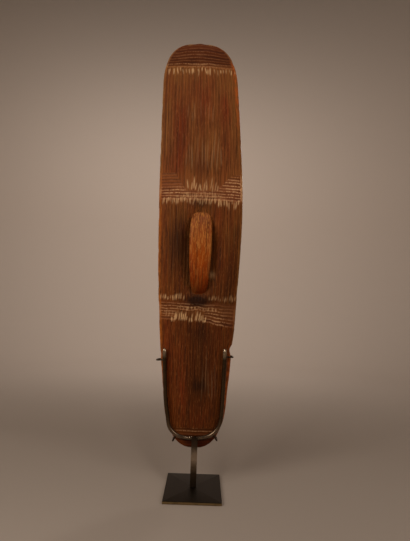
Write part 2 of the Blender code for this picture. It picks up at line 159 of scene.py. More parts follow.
print("noise sample", round(float(noise(0.3, 0.7, 1)), 3))

# %% [markdown]
# The outline is broad and nearly straight-sided, widest a little above the middle, with a round
# lower end and a blunter upper one. Half the width is a curve through six stations, times a rounding
# factor at each end. The middle drifts to the left towards the top, because the tree did.

# %% Outline of the shield
SIDE_STATIONS = (0.0, 0.15, 0.35, 0.58, 0.80, 0.95)
SIDE_SHARES = (0.611, 0.763, 0.918, 1.0, 0.950, 0.889)
MIDLINE_STATIONS = (0.0, 0.35, 0.58, 0.80, 1.0)
MIDLINE_SHARES = (-0.013, -0.048, -0.047, -0.118, -0.200)
LOWER_END = (0.099, 2.45)
UPPER_END = (0.119, 2.7)
EDGE_ALLOWANCE = 0.15 * MM


def midline(share):
    """Sideways place of the middle: a curve through five stations."""
    return HALF_WIDTH * smooth_curve(MIDLINE_STATIONS, MIDLINE_SHARES, share)


def end_round(share, end):
    """Superellipse end: (1 - q^n)^(1/n), where q falls from 1 at the tip to 0 at the side."""
    q = np.clip(1 - share / end[0], 0.0, 1.0)
    return (1 - q ** end[1]) ** (1 / end[1])


def half_width(share):
    """Side curve times the rounding of both ends, less a hair so that it stays in its solid."""
    side = HALF_WIDTH * smooth_curve(SIDE_STATIONS, SIDE_SHARES, share) - EDGE_ALLOWANCE
    return side * end_round(share, LOWER_END) * end_round(1 - share, UPPER_END)


print("widest", round(2000 * float(half_width(0.57)), 1), "mm")

# %% [markdown]
# Across, the shield is a lens: both faces bulge, most at the middle of its length, and meet in a
# rounded edge. The formula for a face is the rounded edge plus a parabola. The hand hollow is an oval
# bowl with a flat floor and soft shoulders, and it is simply taken away from the back.

# %% Faces of the lens and the hand hollow
EDGE_THICKNESS = 9.0 * MM
BACK_CROWN = 9.5 * MM
FRONT_CROWN = 8.5 * MM
TIP_ROUNDING = 10.0 * MM
CROWN_AT_ENDS = 0.35
HOLLOW_CENTRE = 0.460
HOLLOW_REACH = (104 * MM, 47 * MM)
HOLLOW_DEPTH = 14.5 * MM
HOLLOW_FLAT_SHARE = 0.35


def face_offset(share, across, crown):
    """Height of a face over the edge plane: rounded edge + crown * (1 - across^2), fading at the tips."""
    near = np.minimum(share, 1 - share) * LENGTH / TIP_ROUNDING
    nose = np.sqrt(1 - (1 - np.clip(near, 0, 1)) ** 2)
    bulge = CROWN_AT_ENDS + (1 - CROWN_AT_ENDS) * (1 - (2 * share - 1) ** 2)
    rounded = EDGE_THICKNESS / 2 * np.sqrt(np.clip(1 - np.abs(across) ** 12, 0, 1))
    return nose * (rounded + crown * bulge * (1 - across**2))


def hollow_share(share, across):
    """1 on the floor of the hand hollow, 0 outside its oval rim."""
    along = (share - HOLLOW_CENTRE) * LENGTH / HOLLOW_REACH[0]
    sideways = across * half_width(share) / HOLLOW_REACH[1]
    return 1 - smooth_step(HOLLOW_FLAT_SHARE, 1.0, np.hypot(along, sideways))


thickness = face_offset(0.5, 0.0, BACK_CROWN + FRONT_CROWN)
print("thickness at the middle", round(1000 * float(thickness + EDGE_THICKNESS / 2), 1), "mm")

# %% [markdown]
# The carver worked in zones. Long cuts run down three panels. Crosswise cuts fill the two ends and
# two bands, and in each band a tongue of long cuts reaches in between two crosswise blocks. A cut made
# by a gouge is a shallow trough with a sharp ridge to its neighbour, so its depth over one pitch is
# 1 - |2p - 1|^2.2. The mesh rows and columns sit on fixed places of that pitch, so that ridges stay
# crisp with few faces.

# %% Zones of the carving, as shares of the length
LONG_CUTS = 23
CUT_COLUMNS = 6
CARVED_SHARE = 0.94
CROSS_PITCH = 6.0 * MM
CAP_PITCH = 7.2 * MM
PANEL_STEP = 2.9 * MM

# Each zone: lower end, upper end, kind, and the tongue's left and right side at both ends
ZONES = (
    (0.000, 0.048, "cap", None),
    (0.048, 0.299, "panel", None),
    (0.299, 0.324, "tongue", ((-0.58, 0.16), (-0.56, 0.22))),
    (0.324, 0.344, "rows", None),
    (0.344, 0.595, "panel", None),
    (0.595, 0.616, "rows", None),
    (0.616, 0.661, "tongue", ((-0.36, 0.36), (-0.62, 0.78))),
    (0.661, 0.934, "panel", None),
    (0.934, 1.000, "cap", None),
)


def zone_rows(number, zone):
    """Share, crosswise phase and zone of each row: six rows to a cut, or even steps in a panel."""
    low, high, kind, _ = zone
    if kind == "panel":
        count = round((high - low) * LENGTH / PANEL_STEP)
        share, phase = np.linspace(low, high, count, endpoint=False), np.zeros(count)
    else:
        cuts = round((high - low) * LENGTH / (CAP_PITCH if kind == "cap" else CROSS_PITCH))
        phase = np.arange(cuts * CUT_COLUMNS) / CUT_COLUMNS
        share = low + (high - low) * phase / cuts
    return np.stack([share, phase, np.full(len(share), float(number))])


# The first row would be the lower tip, which is a single point
rows = np.concatenate([zone_rows(*zone) for zone in enumerate(ZONES)], axis=1)
row_share, row_phase, row_zone = rows[:, 1:]
print(len(row_share), "rows in", len(ZONES), "zones")

# %% Columns across the back and the front
EDGE_COLUMNS = 8
FRONT_FLUTES = 15
FLUTE_COLUMNS = 4


def columns(cuts, steps):
    """Places across from -1 to 1 and the lengthwise phase of each: even cuts, then bunched edges."""
    phase = np.arange(cuts * steps + 1) / steps
    carved = CARVED_SHARE * (2 * phase / cuts - 1)
    q = np.arange(1, EDGE_COLUMNS + 1) / EDGE_COLUMNS
    edge = CARVED_SHARE + (1 - CARVED_SHARE) * (1 - (1 - q) ** 2)
    across = np.concatenate([-edge[::-1], carved, edge])
    return across, np.concatenate([np.zeros(EDGE_COLUMNS), phase, np.full(EDGE_COLUMNS, cuts)])


back_across, back_phase = columns(LONG_CUTS, CUT_COLUMNS)
front_across, front_phase = columns(FRONT_FLUTES, FLUTE_COLUMNS)
print(len(back_across), "columns on the back,", len(front_across), "on the front")


# %% Shape of a gouge cut, and where the crosswise ones lie
CUT_POWER = 2.2
TONGUE_BLEND = 0.012


def gouge(phase):
    """Trough of one gouge cut: 1 - |2p - 1|^2.2, 0 on the ridges and 1 at the bottom."""
    p = phase - np.floor(phase)
    return 1 - np.abs(2 * p - 1) ** CUT_POWER


def cross_mask(share, across, zone_number):
    """1 where crosswise cuts lie: caps, full rows and the blocks beside a tongue."""
    mask = 0 * share
    for number, (low, high, kind, tongue) in enumerate(ZONES):
        here = zone_number == number
        if kind in ("cap", "rows"):
            mask[here] = 1.0
        if kind == "tongue":
            q = (share - low) / (high - low)
            left = tongue[0][0] + (tongue[1][0] - tongue[0][0]) * q
            right = tongue[0][1] + (tongue[1][1] - tongue[0][1]) * q
            nearest = np.minimum(across - left, right - across)
            mask = np.where(here, 1 - smooth_step(-TONGUE_BLEND, TONGUE_BLEND, nearest), mask)
    return mask


print("a gouge cut half way up its wall:", round(float(gouge(0.15)), 2))

# %% [markdown]
# The rest of the carving and of the wear has no rule, so it is written down place by place, as seen,
# and so are the painted shade and highlight. Short strokes stand in rows beside the bands. Dark spots,
# among them painted shade and a painted shadow, ridges with pale dust and painted highlight, a pale
# spot and thick ochre are soft oval spots, with their height over the ground in millimetres and their
# place across from -1 to 1.

# %% Tables of strokes, stains and worn places
# Rows of strokes: start share, direction, longest in mm, from and to across, count, strength. The
# last three are long faint cuts in the panels.
STROKES = (
    (0.932, -1, 20, -0.90, 0.86, 25, 0.9),
    (0.614, 1, 32, -0.34, 0.42, 13, 1.0),
    (0.612, -1, 16, -0.40, 0.35, 14, 0.55),
    (0.606, -1, 13, -0.60, 0.50, 20, 0.5),
    (0.600, -1, 18, -0.92, 0.40, 28, 0.95),
    (0.597, -1, 24, 0.40, 0.93, 9, 1.1),
    (0.346, 1, 16, -0.95, -0.32, 13, 0.9),
    (0.348, 1, 16, 0.25, 0.90, 13, 0.45),
    (0.296, 1, 24, -0.62, 0.22, 19, 1.5),
    (0.324, 1, 10, -0.50, 0.45, 14, 0.6),
    (0.306, 1, 18, -0.75, -0.35, 6, 0.5),
    (0.672, 1, 95, -0.40, 0.50, 12, 0.22),
    (0.790, 1, 60, -0.35, 0.35, 7, 0.16),
    (0.120, 1, 110, 0.05, 0.75, 7, 0.12),
)
# Dark spots, three of them painted shade and shadow: height in mm, place across, reach along in mm,
# reach across, strength
DARK_SPOTS_AND_SHADE = (
    # Painted shade in the scoop above the handle, whose slope faces down
    (568, 0.00, 9, 0.26, 0.65),
    (640, -0.05, 20, 0.30, 0.35),
    # Painted shade in the left half of the hollow, whose slope faces away from the main lamp
    (485, -0.52, 62, 0.24, 0.75),
    # Painted shadow cast by the handle's lower end
    (366, 0.00, 11, 0.28, 1.6),
    (196, 0.10, 14, 0.26, 0.55),
    (225, 0.20, 95, 0.42, 0.42),
    (302, 0.05, 20, 0.35, 0.40),
    (400, 0.80, 60, 0.30, 0.35),
)
# Where ridges of the crosswise cuts are lighter, with pale dust and painted highlight from light above,
# in the same terms
RIDGE_DUST_AND_HIGHLIGHT = (
    (591, -0.62, 9, 0.40, 1.0),
    (603, 0.85, 24, 0.36, 1.0),
    (582, 0.10, 8, 0.80, 0.35),
    (354, -0.10, 8, 0.42, 0.75),
    (335, 0.50, 14, 0.34, 0.65),
    (345, -0.80, 14, 0.34, 0.50),
    (867, -0.10, 3, 1.20, 0.7),
    (112, 0.10, 7, 1.20, 0.5),
    (890, -0.10, 22, 1.20, 0.14),
)
# A pale spot beside the handle
PALE_SPOTS = ((421, 0.34, 6, 0.06, 0.45),)
# Where the ochre is still thick
OCHRE = (
    (725, -0.48, 85, 0.20, 1.2),
    (790, 0.12, 60, 0.24, 1.0),
    (775, 0.62, 34, 0.12, 1.2),
    (690, 0.62, 50, 0.16, 0.8),
    (640, -0.70, 34, 0.22, 0.8),
    (545, 0.42, 32, 0.15, 0.8),
    (450, 0.55, 70, 0.18, 0.45),
    (250, -0.80, 110, 0.16, 1.0),
    (195, -0.42, 80, 0.16, 0.9),
    (130, 0.10, 30, 0.40, 0.6),
    (200, 0.55, 70, 0.10, 0.4),
)
print(sum(row[5] for row in STROKES), "strokes in", len(STROKES), "rows")

# %% Masks made from the tables
STROKE_WIDTH = 1.05 * MM
STROKE_SEED = 40
STROKE_SHORTEST = 0.45
STROKE_FAINTEST = 0.35
STROKE_STAGGER = 0.25
RIM_SIDE = (0.95, 0.995)
RIM_TIP = (1 * MM, 4 * MM)


def spots(share, across, table):
    """Sum of soft oval spots, each the product of a bell along and a bell across, at most 1."""
    height = (TIP_HEIGHT + share * LENGTH) / MM
    total = 0 * share
    for middle, place, along, sideways, strength in table:
        total += strength * bell(height, middle, along) * bell(across, place, sideways)
    return np.minimum(total, 1.0)


def rim_mask(share, across):
    """1 on the outline, sides and tips, and 0 a few millimetres inside it."""
    from_tip = np.minimum(share, 1 - share) * LENGTH
    return np.maximum(smooth_step(*RIM_SIDE, np.abs(across)), 1 - smooth_step(*RIM_TIP, from_tip))


def stroke_mask(share, across):
    """Each stroke is a bell curve across its slanted line, faded at both ends; the strongest counts.

    Five chances of its own move it in its row, shorten it, shift its start, slant it and weaken it.
    """
    sideways = across * half_width(share)
    mask = 0 * share
    for row, (start, way, longest, low, high, count, strength) in enumerate(STROKES):
        for k in range(count):
            move, size, shift, slant, force = (float(lattice(k, row, STROKE_SEED + n)) for n in range(5))
            centre = (low + (high - low) * (k + 0.15 + 0.7 * move) / count) * HALF_WIDTH
            length = longest * MM * (STROKE_SHORTEST + (1 - STROKE_SHORTEST) * size)
            run = way * (share - start) * LENGTH - STROKE_STAGGER * longest * MM * (shift - 0.5)
            line = centre + (slant - 0.4) * min(0.35, 11 / longest) * run
            fade = smooth_step(0, 0.25, run / length) * (1 - smooth_step(0.6, 1, run / length))
            depth = fade * min(strength * (STROKE_FAINTEST + (1 - STROKE_FAINTEST) * force), 1)
            mask = np.maximum(mask, bell(sideways, line, STROKE_WIDTH) * depth)
    return mask


# The first value is dark spots with painted shade, the second pale dust and painted highlight
band_spots = [round(float(spots(0.6, 0.1, table)), 2) for table in (DARK_SPOTS_AND_SHADE, RIDGE_DUST_AND_HIGHLIGHT)]
print("stain and rubbing in the upper band:", band_spots)

# %% [markdown]
# Now the surface itself. Both faces are grids over the same rows. Noise moves the rows and columns
# by a millimetre or so, which makes the cuts wander as real ones do. The lower band is tilted and its
# right end sags, and the cuts of the upper cap are arched. The chip in the right edge is a notch cut
# into the outline.

# %% Where each place of the outline lies
CHIP = (0.212, 0.2325, 0.2495)
CHIP_DEPTH = 5.0 * MM
NICK_DEPTH = 1.3 * MM
NICKS_ABOVE = 0.35
WANDER = 1.3 * MM
BROAD_RIPPLE = 0.8 * MM
FINE_RIPPLE = 0.5 * MM
BAND_SHAKE = 1.8 * MM
BAND_TILT = -3.0 * MM
BAND_TILT_CENTRE = 0.320
BAND_SAG = 9.0 * MM
BAND_SAG_CENTRE = 0.296
CAP_ARCH = 7.0 * MM


def chip(share):
    """Notch in the right edge: a soft step up from below and a sharper step back above."""
    return smooth_step(CHIP[0], CHIP[1], share) * (1 - smooth_step(CHIP[1], CHIP[2], share))


def outline_point(share, across):
    """x and z of a place on the shield, with the wander of the cuts, the chip and the bent bands."""
    inner = 1 - across**4
    ends = smooth_step(0.0, 0.06, share) * smooth_step(0.0, 0.06, 1 - share)
    x = midline(share) + across * half_width(share)
    x = x + WANDER * noise(across * 5 + 9, share * 16, 2) * inner * ends
    x = x - CHIP_DEPTH * chip(share) * np.clip(across, 0, 1) ** 8
    nick = NICK_DEPTH * np.clip(noise(share * 60, np.sign(across) * 3.0, 4) - NICKS_ABOVE, 0, 1)
    x = x - np.sign(across) * nick * np.abs(across) ** 14 * ends
    tilt = BAND_TILT * bell(share, BAND_TILT_CENTRE, 0.05) * across
    sag = BAND_SAG * bell(share, BAND_SAG_CENTRE, 0.022) * smooth_step(0.1, 0.9, across)
    arch = CAP_ARCH * across**2 * (1 - across**8) * smooth_step(0.935, 0.965, share)
    ripple = BROAD_RIPPLE * noise(across * 4, share * 70, 3)
    ripple = ripple + FINE_RIPPLE * noise(across * 11, share * 90, 13)
    shake = BAND_SHAKE * noise(across * 6, share * 40, 17) * bell(share, BAND_TILT_CENTRE, 0.03)
    z = TIP_HEIGHT + share * LENGTH + tilt - sag - arch + (ripple + shake) * inner * ends
    return x, z


chip_x, chip_z = outline_point(CHIP[1], 1.0)
print("chip at x =", round(1000 * float(chip_x), 1), "mm, z =", round(1000 * float(chip_z), 1), "mm")

# %% The carved back
LONG_CUT_DEPTH = 1.0 * MM
CROSS_CUT_DEPTH = 1.2 * MM
LONG_UNEVEN = 0.28
CROSS_UNEVEN = 0.25
STROKE_DEPTH = 0.3 * MM
CHATTER = 0.12 * MM
FACE_UNEVEN = 0.25 * MM


def back_surface():
    """Grid of the back: lens height, less the hollow, less the deeper of the long and cross cuts."""
    share, across = np.meshgrid(row_share, back_across, indexing="ij")
    phase_cross, phase_long = np.meshgrid(row_phase, back_phase, indexing="ij")
    zone = row_zone[:, None] + 0 * share
    cross = cross_mask(share, across, zone)
    cut_number = np.floor(phase_long)
    row_number = np.floor(phase_cross) + zone * 40
    carved = smooth_step(0, 0.03, CARVED_SHARE + 0.02 - np.abs(across))
    long_cut = gouge(phase_long) * uneven(LONG_UNEVEN, noise(cut_number * 1.7, share * 14, 6)) * (1 - cross)
    cross_cut = gouge(phase_cross) * uneven(CROSS_UNEVEN, noise(across * 4, row_number * 1.3, 7)) * cross
    strokes = np.maximum(stroke_mask(share, across), spots(share, across, PALE_SPOTS))
    chatter = CHATTER * noise(cut_number * 3.1, share * 190, 8) * (1 - cross)
    hollow = hollow_share(share, across)
    depth = (long_cut * LONG_CUT_DEPTH + cross_cut * CROSS_CUT_DEPTH) * carved + STROKE_DEPTH * strokes
    depth = depth + chatter * carved * gouge(phase_long)
    depth = depth + FACE_UNEVEN * (1 + noise(across * 3, share * 22, 9))
    tip = np.clip(np.minimum(share, 1 - share) * 60, 0, 1)
    y = EDGE_PLANE - face_offset(share, across, BACK_CROWN) + hollow * HOLLOW_DEPTH
    y = y + depth * tip * (1 - np.abs(across) ** 30)
    x, z = outline_point(share, across)
    masks = {
        "cut": np.maximum(long_cut, cross_cut) * carved,
        "crosswise": cross,
        "strokes": strokes,
        "cut_tone": lattice(cut_number, zone, 11) * (1 - cross) + lattice(row_number, 2.0, 12) * cross,
        "hollow": hollow,
        # Dark spots with painted shade and shadow
        "dark_spots_and_shade": spots(share, across, DARK_SPOTS_AND_SHADE),
        # Pale dust and painted highlight on the ridges of the crosswise cuts
        "ridge_dust_and_highlight": spots(share, across, RIDGE_DUST_AND_HIGHLIGHT) * cross,
        "ochre": spots(share, across, OCHRE),
        "rim": rim_mask(share, across),
        "across": across,
    }
    return np.stack([x, y, z], axis=-1), masks


back_grid, back_masks = back_surface()
print("back grid", back_grid.shape, "with masks", ", ".join(back_masks))

# %% The fluted front
FLUTE_DEPTH = 0.7 * MM
FLUTE_UNEVEN = 0.3
FRONT_UNEVEN = 0.15 * MM


def front_surface():
    """Grid of the front: lens height less broad shallow flutes."""
    share, across = np.meshgrid(row_share, front_across, indexing="ij")
    phase = front_phase + 0 * share
    carved = smooth_step(0, 0.05, CARVED_SHARE + 0.02 - np.abs(across))
    tip = smooth_step(0.015, 0.05, np.minimum(share, 1 - share))
    cut = gouge(phase) * uneven(FLUTE_UNEVEN, noise(np.floor(phase) * 1.7, share * 9, 21)) * carved * tip
    y = EDGE_PLANE + face_offset(share, across, FRONT_CROWN) - cut * FLUTE_DEPTH
    y = y - FRONT_UNEVEN * tip * (1 + noise(across * 3, share * 25, 22)) * (1 - across**8)
    x, z = outline_point(share, across)
    masks = dict.fromkeys(back_masks, 0 * share)
    masks.update(cut=cut, cut_tone=lattice(np.floor(phase), 7.0, 23))
    masks.update(rim=rim_mask(share, across), across=across)
    return np.stack([x, y, z], axis=-1), masks


front_grid, front_masks = front_surface()
print("front grid", front_grid.shape)


# %% Faces from arrays of vertex numbers
def grid_quads(numbers):
    """Faces of a grid of vertex numbers: each cell's four corners, in turn."""
    a, b = numbers[:-1, :-1], numbers[:-1, 1:]
    c, d = numbers[1:, 1:], numbers[1:, :-1]
    return np.stack([a, b, c, d], axis=-1).reshape(-1, 4)


def fan(tip, ring):
    """Triangles from a tip to each pair of neighbours on a ring."""
    return np.stack([np.full(len(ring) - 1, tip), ring[:-1], ring[1:]], axis=-1)


def mesh_from_arrays(name, points, quads, triangles):
    """Mesh from whole arrays of places and faces."""
    mesh = bpy.data.meshes.new(name)
    corners = np.concatenate([quads.ravel(), triangles.ravel()]).astype(np.int32)
    sizes = np.concatenate([np.full(len(quads), 4), np.full(len(triangles), 3)])
    starts = (np.cumsum(sizes) - sizes).astype(np.int32)
    mesh.vertices.add(len(points))
    mesh.vertices.foreach_set("co", points.astype(np.float32).ravel())
    mesh.loops.add(len(corners))
    mesh.loops.foreach_set("vertex_index", corners)
    mesh.polygons.add(len(sizes))
    mesh.polygons.foreach_set("loop_start", starts)
    mesh.update(calc_edges=True)
    mesh.validate()
    mesh.shade_smooth()
    return mesh


print("a grid of 3 by 4 points has", len(grid_quads(np.arange(12).reshape(3, 4))), "faces")


# %% Sew the two grids and the tips into one closed mesh
def sew_shield():
    """Back and front share their edge vertices, each tip is one vertex, and masks become attributes."""
    inner = front_grid[:, 1:-1]
    tips = [(float(midline(s)), EDGE_PLANE, TIP_HEIGHT + s * LENGTH) for s in (0.0, 1.0)]
    points = np.concatenate([back_grid.reshape(-1, 3), inner.reshape(-1, 3), tips])
    low_tip, high_tip = len(points) - 2, len(points) - 1
    back = np.arange(back_grid[..., 0].size).reshape(back_grid.shape[:2])
    front_inner = back.size + np.arange(inner[..., 0].size).reshape(inner.shape[:2])
    front = np.concatenate([back[:, :1], front_inner, back[:, -1:]], axis=1)
    quads = np.concatenate([grid_quads(back), grid_quads(front)[:, ::-1]])
    triangles = np.concatenate([
        fan(low_tip, back[0])[:, ::-1], fan(low_tip, front[0]),
        fan(high_tip, back[-1]), fan(high_tip, front[-1])[:, ::-1],
    ])
    mesh = mesh_from_arrays("shield_wood", points, quads, triangles)
    for name, mask in back_masks.items():
        values = np.concatenate([mask.ravel(), front_masks[name][:, 1:-1].ravel(), [0.0, 0.0]])
        attribute = mesh.attributes.new(name, "FLOAT", "POINT")
        attribute.data.foreach_set("value", values.astype(np.float32))
    return mesh


shield = add_object("shield_wood", sew_shield())
print("shield", len(shield.data.vertices), "vertices", len(shield.data.polygons), "faces")

# %% [markdown]
# The handle is a bar that was left standing over the hollow. It is a row of rounded sections: each
# one is a superellipse between an outer line, which arches up out of the wood, and an inner line,
# which arches a finger's room above the floor. Its feet sink below the surface, and a Boolean union
# with the exact solver then makes handle and body one skin, as they are one piece of wood.

# %% The handle left standing over the hollow
HANDLE_CENTRE = 0.463
HANDLE_LENGTH = 172 * MM
HANDLE_WIDTHS = (46 * MM, 38 * MM)
HANDLE_END_NARROWING = 0.45
HANDLE_POWERS = (0.55, 0.7)
HANDLE_WEAR = 0.35 * MM
HANDLE_SIDE_SHIFT = 2 * MM
HANDLE_THICKNESS = 11.5 * MM
HANDLE_RISE = 15.5 * MM
HANDLE_FOOT_DEPTH = 10 * MM
HANDLE_SECTIONS = 72
HANDLE_SIDES = 56


def handle_surface():
    """Superellipse sections: x = w|cos a|^0.55, y = t|sin a|^0.7 between the outer and the inner arch."""
    q = -np.cos(np.pi * np.arange(HANDLE_SECTIONS) / (HANDLE_SECTIONS - 1))[:, None]
    angle = (2 * np.pi * (np.arange(HANDLE_SIDES) + 0.5) / HANDLE_SIDES)[None, :]
    share = HANDLE_CENTRE + q * HANDLE_LENGTH / 2 / LENGTH
    back = EDGE_PLANE - face_offset(share, 0 * share, BACK_CROWN)
    face = back + HOLLOW_DEPTH * hollow_share(share, 0 * share)
    arch = EDGE_PLANE - float(face_offset(HANDLE_CENTRE, 0.0, BACK_CROWN)) - HANDLE_RISE
    outer = arch + (face + HANDLE_FOOT_DEPTH * 0.3 - arch) * np.abs(q) ** 5
    under = arch + HANDLE_THICKNESS
    inner = under + (face + HANDLE_FOOT_DEPTH - under) * np.abs(q) ** 4
    narrow = smooth_step(0, 1, (0.2 - q) / 1.1)
    width = HANDLE_WIDTHS[0] + (HANDLE_WIDTHS[1] - HANDLE_WIDTHS[0]) * narrow
    width = width * (1 - HANDLE_END_NARROWING * np.abs(q) ** 7) - 2 * EDGE_ALLOWANCE
    cos, sin = (np.sign(a) * np.abs(a) ** p for a, p in zip((np.cos(angle), np.sin(angle)), HANDLE_POWERS))
    worn = HANDLE_WEAR * noise(angle * 5, q * 9, 31) * (1 - q**6)
    x = midline(HANDLE_CENTRE) + HANDLE_SIDE_SHIFT + cos * (width / 2 - np.abs(worn))
    y = (outer + inner) / 2 + sin * ((inner - outer) / 2 - np.abs(worn))
    z = TIP_HEIGHT + share * LENGTH + 0 * angle
    return np.stack([x, y + 0 * x, z], axis=-1)


def ring_numbers(rings, sides):
    """Vertex numbers of a stack of closed rings, each ending with its first vertex."""
    numbers = np.arange(rings * sides).reshape(rings, sides)
    return np.concatenate([numbers, numbers[:, :1]], axis=1)


def tube_mesh(name, grid):
    """Closed skin of a stack of rings: quads round the sides and a fan on each end."""
    wrapped = ring_numbers(*grid.shape[:2])
    centres = np.stack([grid[0].mean(axis=0), grid[-1].mean(axis=0)])
    points = np.concatenate([grid.reshape(-1, 3), centres])
    low, high = len(points) - 2, len(points) - 1
    triangles = np.concatenate([fan(low, wrapped[0])[:, ::-1], fan(high, wrapped[-1])])
    return mesh_from_arrays(name, points, grid_quads(wrapped), triangles)


handle_grid = handle_surface()
print("handle", handle_grid.shape[0], "sections of", handle_grid.shape[1], "points")


# %% Handle and body joined into one skin
def join_handle():
    """Union of the body and the bar, whose faces keep the second material."""
    bar = add_object("handle_bar", tube_mesh("handle_bar", handle_grid))
    body_wood, handle_wood = (bpy.data.materials.new(n) for n in ("ochred_hardwood", "hand_worn_hardwood"))
    for mesh in (shield.data, bar.data):
        mesh.materials.append(body_wood)
        mesh.materials.append(handle_wood)
    bar.data.polygons.foreach_set("material_index", np.ones(len(bar.data.polygons), np.int32))
    union = shield.modifiers.new("handle", "BOOLEAN")
    union.operation = "UNION"
    union.solver = "EXACT"
    union.object = bar
    graph = bpy.context.evaluated_depsgraph_get()
    joined = bpy.data.meshes.new_from_object(shield.evaluated_get(graph), depsgraph=graph)
    shield.modifiers.clear()
    shield.data = joined
    joined.shade_smooth()
    bpy.data.objects.remove(bar)


join_handle()
shield.data.calc_loop_triangles()
print("shield and handle in one skin:", len(shield.data.loop_triangles), "triangles")

# %% [markdown]
# The stand is blacksmith's work: a plate, a flat bar, and a round rod bent to a U whose tips are
# ground to a taper. Four thin rods are brazed to it and reach round the edge of the wood. A rod is a
# circle carried along a path, so one function makes all five from their centre lines.

# %% Rods from a centre line
PLATE_LOW, PLATE_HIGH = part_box("base_plate")
POST_LOW, POST_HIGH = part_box("post")
ROD_LOW, ROD_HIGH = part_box("cradle")
ROD_RADIUS = (ROD_HIGH.y - ROD_LOW.y) / 2
ROD_Y = (ROD_HIGH.y + ROD_LOW.y) / 2
TOUCH_GAP = 0.3 * MM
POST_ABOVE_ROD = 6.5 * MM
CRADLE_BOTTOM = POST_HIGH.z - POST_ABOVE_ROD
ARM_LENGTH = 176 * MM
BEND_HEIGHT = 60 * MM
BEND_POWER = 2.65
CRADLE_INSET = 6.0 * MM
CRADLE_FLARE = 0.04
CRADLE_PINCHES = (3.4 * MM, 1.0 * MM)
CRADLE_PINCH_PLACE = (43 * MM, 20 * MM)
CRADLE_SIDE_SHIFT = -2.4 * MM
CRADLE_LEAN = math.radians(1.2)
BEND_REACH = float(half_width((CRADLE_BOTTOM - TIP_HEIGHT + BEND_HEIGHT) / LENGTH)) - CRADLE_INSET


def cradle_point(side, height):
    """Centre line of an arm: a superellipse bend, a pinch above it, then a straight arm that opens."""
    q = np.clip(1 - height / BEND_HEIGHT, 0, 1)
    x = BEND_REACH * (1 - q**BEND_POWER) ** (1 / BEND_POWER)
    pinch = CRADLE_PINCHES[0 if side < 0 else 1]
    x = x - pinch * bell(height, *CRADLE_PINCH_PLACE)
    x = side * (x + CRADLE_FLARE * np.clip(height - BEND_HEIGHT, 0, None))
    turned_x = CRADLE_SIDE_SHIFT + x * math.cos(CRADLE_LEAN) - height * math.sin(CRADLE_LEAN)
    turned_z = x * math.sin(CRADLE_LEAN) + height * math.cos(CRADLE_LEAN)
    return np.stack([turned_x, ROD_Y + 0 * x, CRADLE_BOTTOM + turned_z], axis=-1)


print("arms bend up", round(1000 * BEND_REACH, 1), "mm from the middle")


# %% A round rod from its centre line
def run_along(points):
    """Length of the line from its start to each of its points."""
    return np.concatenate([[0], np.cumsum(np.linalg.norm(np.diff(points, axis=0), axis=1))])


def even_path(points, count):
    """The same line with evenly spaced points."""
    run = run_along(points)
    at = np.linspace(0, run[-1], count)
    return np.stack([np.interp(at, run, points[:, k]) for k in range(3)], axis=-1)


def swept_rod(name, path, radii, sides=24):
    """Circle of each radius, square to a path whose turns all lie close to one plane."""
    along = np.gradient(path, axis=0)
    along /= np.linalg.norm(along, axis=1)[:, None]
    flat = np.linalg.svd(path - path.mean(axis=0))[2][2]
    across = np.cross(along, flat)
    across /= np.linalg.norm(across, axis=1)[:, None]
    over = np.cross(across, along)
    angle = 2 * np.pi * np.arange(sides) / sides
    ring = np.cos(angle)[None, :, None] * across[:, None] + np.sin(angle)[None, :, None] * over[:, None]
    grid = path[:, None] + np.asarray(radii)[:, None, None] * ring
    return add_object(name, tube_mesh(name, grid))


print("rod radius", round(1000 * ROD_RADIUS, 2), "mm")

# %% The bent rod of the cradle
# The tips are ground over this many radii, down to this share of the radius
TIP_GRIND = 2.2
TIP_SHARE = 0.3
# The drawn rod is a hair thinner than its solid
ROD_FIT = 0.995


def make_cradle():
    """The U-shaped rod, its tips ground from full radius to a round point over 2.2 radii."""
    bend = BEND_HEIGHT * (1 - np.cos(np.linspace(0, 1, 40) * np.pi / 2))
    heights = np.concatenate([bend[:-1], np.linspace(BEND_HEIGHT, ARM_LENGTH, 30)])
    line = np.concatenate([cradle_point(-1, heights[::-1]), cradle_point(1, heights[1:])])
    path = even_path(line, 200)
    run = run_along(path)
    near = np.clip(np.minimum(run, run[-1] - run) / (TIP_GRIND * ROD_RADIUS), 0, 1)
    ground = TIP_SHARE + (1 - TIP_SHARE) * np.sqrt(1 - (1 - near) ** 2)
    return swept_rod("cradle_rod", path, ROD_RADIUS * ground * ROD_FIT)


cradle = make_cradle()
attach(cradle, "root")
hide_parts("cradle")
print("cradle from", [round(v, 3) for v in cradle.bound_box[0]])

# %% [markdown]
# Each hook leaves the rod square to it, passes the edge of the shield, runs back along that edge and
# turns in over the far side. How far it has to go is found, not typed: a line is sent out from the
# rod, and the place where it leaves the outline gives the length of the first leg.

# %% Where the edge is, and how a wire turns a corner
def across_at(x, z):
    """Place across the shield of a point, 1 on its edge and 2 beyond its tips."""
    share = (z - TIP_HEIGHT) / LENGTH
    inside = (share > 0.001) & (share < 0.999)
    safe = np.clip(share, 0.001, 0.999)
    return np.where(inside, (x - midline(safe)) / half_width(safe), 2.0), safe


def round_corners(corners, reach, steps=7):
    """Each inner corner is turned by a parabola that touches both its legs."""
    path = [corners[0]]
    q = np.linspace(0, 1, steps)[:, None]
    for before, corner, after in zip(corners, corners[1:], corners[2:]):
        back = (before - corner) / np.linalg.norm(before - corner)
        ahead = (after - corner) / np.linalg.norm(after - corner)
        path.extend(corner + back * reach * (1 - q) ** 2 + ahead * reach * q**2)
    return np.array(path + [corners[-1]])


sample = across_at(40 * MM, TIP_HEIGHT + LENGTH / 2)[0]
print("half way up, x = 40 mm lies", round(float(sample), 2), "across")

